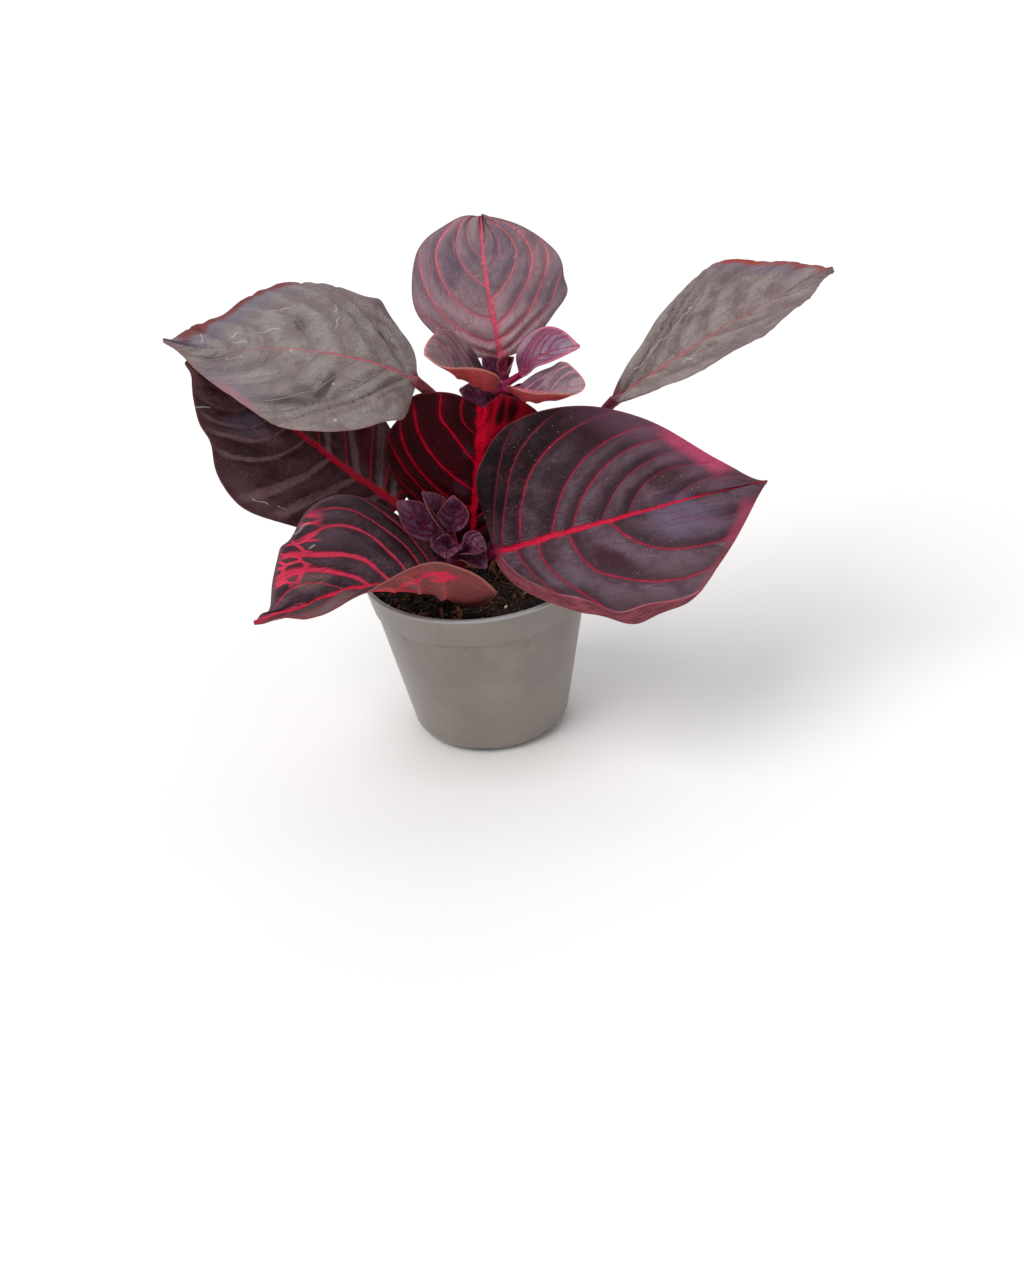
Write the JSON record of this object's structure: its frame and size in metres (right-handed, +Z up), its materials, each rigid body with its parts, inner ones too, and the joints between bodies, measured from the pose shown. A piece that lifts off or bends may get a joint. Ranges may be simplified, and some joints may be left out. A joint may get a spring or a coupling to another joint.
{
  "type": "potted bloodleaf",
  "caption": "Small house plant with broad dark red and purple veined leaves, rooted in soil in a tapered grey plastic nursery pot.",
  "frame": {"origin": "centre of the pot's underside, on the surface that the pot stands on", "axes": "+Z up along the pot's axis; +X towards the right as seen from the side that shows the leaves best, along the plant's longest extent; that side faces -Y"},
  "size_m": [0.1653, 0.0736, 0.1324],
  "materials": {
    "pot": "satin grey injection-moulded polypropylene",
    "soil": null,
    "stem": null,
    "grey_leaf": null,
    "dark_leaf": null,
    "crimson_leaf": null,
    "pink_leaf": null
  },
  "bodies": {
    "root": {"pot": "pot", "soil": "soil", "stem_front": "stem", "stem_rear": "stem", "leaf_left_upper": "grey_leaf", "leaf_right_upper": "grey_leaf", "leaf_left_lower": "dark_leaf", "leaf_right_lower": "dark_leaf", "leaf_front_left": "dark_leaf", "leaf_centre": "crimson_leaf", "leaf_top": "pink_leaf", "leaf_tuft_left": "pink_leaf", "leaf_tuft_right": "pink_leaf", "leaf_tuft_small": "pink_leaf"}
  },
  "joints": []
}
